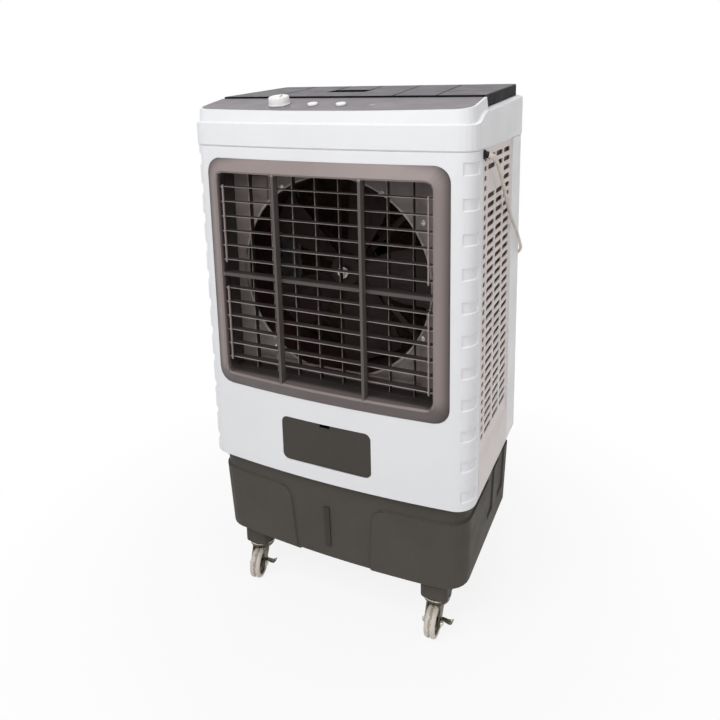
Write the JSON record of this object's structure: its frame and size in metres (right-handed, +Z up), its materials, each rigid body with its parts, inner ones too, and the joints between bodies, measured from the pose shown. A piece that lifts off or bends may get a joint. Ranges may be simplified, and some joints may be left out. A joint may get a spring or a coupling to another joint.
{
  "type": "evaporative cooler",
  "caption": "Tall portable evaporative cooler: white cabinet on casters with a louvred fan outlet, fill door, slotted pad covers, hinged lid and dark water tank.",
  "frame": {"origin": "on the floor under the middle of the cabinet, without its lead", "axes": "+X to the right seen from the front, +Y to the rear, +Z up"},
  "size_m": [0.6405, 0.5226, 1.1509],
  "materials": {
    "white_shell": "satin white moulded plastic",
    "taupe_frame": "satin taupe moulded plastic",
    "charcoal_tank": "matt charcoal moulded plastic",
    "lid_grey": "glossy grey moulded plastic",
    "cover_ivory": "satin ivory moulded plastic",
    "pad_paper": "corrugated cellulose pad",
    "black_plastic": "satin black plastic",
    "knob_white": "glossy white plastic",
    "zinc_steel": "zinc-plated pressed steel",
    "motor_steel": "painted motor case",
    "wheel_grey": "ivory moulded wheel",
    "pipe_plastic": "translucent grey plastic",
    "gauge_plastic": "dark sight strip",
    "lead_white": "off-white cable sheath"
  },
  "bodies": {
    "cabinet": {"water_tank": "charcoal_tank", "level_window": "gauge_plastic", "front_housing": "white_shell", "crown": "white_shell", "control_panel": "taupe_frame", "left_side_panel": "cover_ivory", "right_side_panel": "cover_ivory", "rear_panel": "white_shell", "left_pad": "pad_paper", "right_pad": "pad_paper", "rear_pad": "pad_paper", "louver_bezel": "taupe_frame", "fan_shroud": "taupe_frame", "fan_motor": "motor_steel", "water_pump": "black_plastic", "riser_pipe": "pipe_plastic", "water_tray": "pipe_plastic", "cord_gland": "black_plastic", "power_cord": "lead_white", "cord_coil": "lead_white", "mains_plug": "lead_white"},
    "top_lid": {"top_lid": "lid_grey"},
    "fill_door": {"fill_door": "charcoal_tank"},
    "speed_knob": {"speed_knob": "knob_white"},
    "push_button_1": {"push_button_1": "knob_white"},
    "push_button_2": {"push_button_2": "knob_white"},
    "fan": {"fan": "black_plastic"},
    "upper_blade_1": {"upper_blade_1": "taupe_frame"},
    "upper_blade_2": {"upper_blade_2": "taupe_frame"},
    "upper_blade_3": {"upper_blade_3": "taupe_frame"},
    "upper_blade_4": {"upper_blade_4": "taupe_frame"},
    "upper_blade_5": {"upper_blade_5": "taupe_frame"},
    "upper_blade_6": {"upper_blade_6": "taupe_frame"},
    "upper_blade_link": {"upper_blade_link": "taupe_frame"},
    "lower_blade_1": {"lower_blade_1": "taupe_frame"},
    "lower_blade_2": {"lower_blade_2": "taupe_frame"},
    "lower_blade_3": {"lower_blade_3": "taupe_frame"},
    "lower_blade_4": {"lower_blade_4": "taupe_frame"},
    "lower_blade_5": {"lower_blade_5": "taupe_frame"},
    "lower_blade_6": {"lower_blade_6": "taupe_frame"},
    "lower_blade_link": {"lower_blade_link": "taupe_frame"},
    "swing_vane_1": {"swing_vane_1": "taupe_frame"},
    "swing_vane_2": {"swing_vane_2": "taupe_frame"},
    "swing_vane_3": {"swing_vane_3": "taupe_frame"},
    "swing_vane_4": {"swing_vane_4": "taupe_frame"},
    "swing_vane_5": {"swing_vane_5": "taupe_frame"},
    "swing_vane_6": {"swing_vane_6": "taupe_frame"},
    "swing_vane_7": {"swing_vane_7": "taupe_frame"},
    "swing_vane_8": {"swing_vane_8": "taupe_frame"},
    "vane_link": {"vane_link": "taupe_frame"},
    "front_left_fork": {"front_left_fork": "zinc_steel"},
    "front_left_wheel": {"front_left_wheel": "wheel_grey"},
    "front_left_brake": {"front_left_brake": "zinc_steel"},
    "front_right_fork": {"front_right_fork": "zinc_steel"},
    "front_right_wheel": {"front_right_wheel": "wheel_grey"},
    "front_right_brake": {"front_right_brake": "zinc_steel"},
    "rear_left_fork": {"rear_left_fork": "zinc_steel"},
    "rear_left_wheel": {"rear_left_wheel": "wheel_grey"},
    "rear_right_fork": {"rear_right_fork": "zinc_steel"},
    "rear_right_wheel": {"rear_right_wheel": "wheel_grey"}
  },
  "joints": [
    {"name": "lid_hinge", "type": "hinge", "parent": "cabinet", "child": "top_lid", "pos_m": [0, 0.19835, 1.1268], "axis": [-1, 0, 0], "range_deg": [0, 75]},
    {"name": "door_hinge", "type": "hinge", "parent": "cabinet", "child": "fill_door", "pos_m": [0, -0.20005, 0.3622], "axis": [1, 0, 0], "range_deg": [0, 70]},
    {"name": "knob_turn", "type": "hinge", "parent": "cabinet", "child": "speed_knob", "pos_m": [-0.112, -0.14, 1.1201], "axis": [0, 0.1825, -0.9832], "range_deg": [0, 270]},
    {"name": "button_1_press", "type": "slide", "parent": "cabinet", "child": "push_button_1", "axis": [0, 0.1825, -0.9832], "range_m": [0, 0.003], "stiffness_N_per_m": 150},
    {"name": "button_2_press", "type": "slide", "parent": "cabinet", "child": "push_button_2", "axis": [0, 0.1825, -0.9832], "range_m": [0, 0.003], "stiffness_N_per_m": 150},
    {"name": "fan_spin", "type": "hinge", "parent": "cabinet", "child": "fan", "pos_m": [0, -0.06705, 0.7633], "axis": [0, 1, 0], "continuous": true},
    {"name": "upper_blade_1_tilt", "type": "hinge", "parent": "cabinet", "child": "upper_blade_1", "pos_m": [0, -0.18135, 0.9529], "axis": [1, 0, 0], "range_deg": [-30, 30]},
    {"name": "upper_blade_2_tilt", "type": "hinge", "parent": "cabinet", "child": "upper_blade_2", "pos_m": [0, -0.18135, 0.9213], "axis": [1, 0, 0], "range_deg": [-30, 30]},
    {"name": "upper_blade_3_tilt", "type": "hinge", "parent": "cabinet", "child": "upper_blade_3", "pos_m": [0, -0.18135, 0.8897], "axis": [1, 0, 0], "range_deg": [-30, 30]},
    {"name": "upper_blade_4_tilt", "type": "hinge", "parent": "cabinet", "child": "upper_blade_4", "pos_m": [0, -0.18135, 0.8581], "axis": [1, 0, 0], "range_deg": [-30, 30]},
    {"name": "upper_blade_5_tilt", "type": "hinge", "parent": "cabinet", "child": "upper_blade_5", "pos_m": [0, -0.18135, 0.8265], "axis": [1, 0, 0], "range_deg": [-30, 30]},
    {"name": "upper_blade_6_tilt", "type": "hinge", "parent": "cabinet", "child": "upper_blade_6", "pos_m": [0, -0.18135, 0.7949], "axis": [1, 0, 0], "range_deg": [-30, 30]},
    {"name": "upper_link_pin", "type": "hinge", "parent": "upper_blade_1", "child": "upper_blade_link", "pos_m": [0, -0.19135, 0.9529], "axis": [1, 0, 0], "range_deg": [-30, 30]},
    {"name": "lower_blade_1_tilt", "type": "hinge", "parent": "cabinet", "child": "lower_blade_1", "pos_m": [0, -0.18135, 0.7317], "axis": [1, 0, 0], "range_deg": [-30, 30]},
    {"name": "lower_blade_2_tilt", "type": "hinge", "parent": "cabinet", "child": "lower_blade_2", "pos_m": [0, -0.18135, 0.7001], "axis": [1, 0, 0], "range_deg": [-30, 30]},
    {"name": "lower_blade_3_tilt", "type": "hinge", "parent": "cabinet", "child": "lower_blade_3", "pos_m": [0, -0.18135, 0.6685], "axis": [1, 0, 0], "range_deg": [-30, 30]},
    {"name": "lower_blade_4_tilt", "type": "hinge", "parent": "cabinet", "child": "lower_blade_4", "pos_m": [0, -0.18135, 0.6369], "axis": [1, 0, 0], "range_deg": [-30, 30]},
    {"name": "lower_blade_5_tilt", "type": "hinge", "parent": "cabinet", "child": "lower_blade_5", "pos_m": [0, -0.18135, 0.6053], "axis": [1, 0, 0], "range_deg": [-30, 30]},
    {"name": "lower_blade_6_tilt", "type": "hinge", "parent": "cabinet", "child": "lower_blade_6", "pos_m": [0, -0.18135, 0.5737], "axis": [1, 0, 0], "range_deg": [-30, 30]},
    {"name": "lower_link_pin", "type": "hinge", "parent": "lower_blade_1", "child": "lower_blade_link", "pos_m": [0, -0.19135, 0.7317], "axis": [1, 0, 0], "range_deg": [-30, 30]},
    {"name": "swing_vane_1_swing", "type": "hinge", "parent": "cabinet", "child": "swing_vane_1", "pos_m": [-0.18511, -0.15455, 0.7633], "axis": [0, 0, 1], "range_deg": [-30, 30]},
    {"name": "swing_vane_2_swing", "type": "hinge", "parent": "cabinet", "child": "swing_vane_2", "pos_m": [-0.13222, -0.15455, 0.7633], "axis": [0, 0, 1], "range_deg": [-30, 30]},
    {"name": "swing_vane_3_swing", "type": "hinge", "parent": "cabinet", "child": "swing_vane_3", "pos_m": [-0.07933, -0.15455, 0.7633], "axis": [0, 0, 1], "range_deg": [-30, 30]},
    {"name": "swing_vane_4_swing", "type": "hinge", "parent": "cabinet", "child": "swing_vane_4", "pos_m": [-0.02644, -0.15455, 0.7633], "axis": [0, 0, 1], "range_deg": [-30, 30]},
    {"name": "swing_vane_5_swing", "type": "hinge", "parent": "cabinet", "child": "swing_vane_5", "pos_m": [0.02644, -0.15455, 0.7633], "axis": [0, 0, 1], "range_deg": [-30, 30]},
    {"name": "swing_vane_6_swing", "type": "hinge", "parent": "cabinet", "child": "swing_vane_6", "pos_m": [0.07933, -0.15455, 0.7633], "axis": [0, 0, 1], "range_deg": [-30, 30]},
    {"name": "swing_vane_7_swing", "type": "hinge", "parent": "cabinet", "child": "swing_vane_7", "pos_m": [0.13222, -0.15455, 0.7633], "axis": [0, 0, 1], "range_deg": [-30, 30]},
    {"name": "swing_vane_8_swing", "type": "hinge", "parent": "cabinet", "child": "swing_vane_8", "pos_m": [0.18511, -0.15455, 0.7633], "axis": [0, 0, 1], "range_deg": [-30, 30]},
    {"name": "vane_link_pin", "type": "hinge", "parent": "swing_vane_1", "child": "vane_link", "pos_m": [-0.18511, -0.14655, 0.5641], "axis": [0, 0, 1], "range_deg": [-30, 30]},
    {"name": "front_left_swivel", "type": "hinge", "parent": "cabinet", "child": "front_left_fork", "pos_m": [-0.2225, -0.126, 0.084], "axis": [0, 0, 1], "continuous": true},
    {"name": "front_left_roll", "type": "hinge", "parent": "front_left_fork", "child": "front_left_wheel", "pos_m": [-0.21626, -0.15534, 0.0325], "axis": [0.9781, 0.2079, 0], "continuous": true},
    {"name": "front_left_brake_press", "type": "hinge", "parent": "front_left_fork", "child": "front_left_brake", "pos_m": [-0.21626, -0.15534, 0.0325], "axis": [0.9781, 0.2079, 0], "range_deg": [0, 25]},
    {"name": "front_right_swivel", "type": "hinge", "parent": "cabinet", "child": "front_right_fork", "pos_m": [0.2225, -0.126, 0.084], "axis": [0, 0, 1], "continuous": true},
    {"name": "front_right_roll", "type": "hinge", "parent": "front_right_fork", "child": "front_right_wheel", "pos_m": [0.22355, -0.15598, 0.0325], "axis": [0.9994, 0.0349, 0], "continuous": true},
    {"name": "front_right_brake_press", "type": "hinge", "parent": "front_right_fork", "child": "front_right_brake", "pos_m": [0.22355, -0.15598, 0.0325], "axis": [0.9994, 0.0349, 0], "range_deg": [0, 25]},
    {"name": "rear_left_swivel", "type": "hinge", "parent": "cabinet", "child": "rear_left_fork", "pos_m": [-0.2225, 0.126, 0.084], "axis": [0, 0, 1], "continuous": true},
    {"name": "rear_left_roll", "type": "hinge", "parent": "rear_left_fork", "child": "rear_left_wheel", "pos_m": [-0.2103, 0.09859, 0.0325], "axis": [0.9135, 0.4067, 0], "continuous": true},
    {"name": "rear_right_swivel", "type": "hinge", "parent": "cabinet", "child": "rear_right_fork", "pos_m": [0.2225, 0.126, 0.084], "axis": [0, 0, 1], "continuous": true},
    {"name": "rear_right_roll", "type": "hinge", "parent": "rear_right_fork", "child": "rear_right_wheel", "pos_m": [0.23026, 0.09702, 0.0325], "axis": [0.9659, 0.2588, 0], "continuous": true}
  ],
  "couplings": [
    {"joint": "upper_blade_2_tilt", "follows": "upper_blade_1_tilt", "ratio": 1},
    {"joint": "upper_blade_3_tilt", "follows": "upper_blade_1_tilt", "ratio": 1},
    {"joint": "upper_blade_4_tilt", "follows": "upper_blade_1_tilt", "ratio": 1},
    {"joint": "upper_blade_5_tilt", "follows": "upper_blade_1_tilt", "ratio": 1},
    {"joint": "upper_blade_6_tilt", "follows": "upper_blade_1_tilt", "ratio": 1},
    {"joint": "upper_link_pin", "follows": "upper_blade_1_tilt", "ratio": -1},
    {"joint": "lower_blade_2_tilt", "follows": "lower_blade_1_tilt", "ratio": 1},
    {"joint": "lower_blade_3_tilt", "follows": "lower_blade_1_tilt", "ratio": 1},
    {"joint": "lower_blade_4_tilt", "follows": "lower_blade_1_tilt", "ratio": 1},
    {"joint": "lower_blade_5_tilt", "follows": "lower_blade_1_tilt", "ratio": 1},
    {"joint": "lower_blade_6_tilt", "follows": "lower_blade_1_tilt", "ratio": 1},
    {"joint": "lower_link_pin", "follows": "lower_blade_1_tilt", "ratio": -1},
    {"joint": "swing_vane_2_swing", "follows": "swing_vane_1_swing", "ratio": 1},
    {"joint": "swing_vane_3_swing", "follows": "swing_vane_1_swing", "ratio": 1},
    {"joint": "swing_vane_4_swing", "follows": "swing_vane_1_swing", "ratio": 1},
    {"joint": "swing_vane_5_swing", "follows": "swing_vane_1_swing", "ratio": 1},
    {"joint": "swing_vane_6_swing", "follows": "swing_vane_1_swing", "ratio": 1},
    {"joint": "swing_vane_7_swing", "follows": "swing_vane_1_swing", "ratio": 1},
    {"joint": "swing_vane_8_swing", "follows": "swing_vane_1_swing", "ratio": 1},
    {"joint": "vane_link_pin", "follows": "swing_vane_1_swing", "ratio": -1}
  ]
}
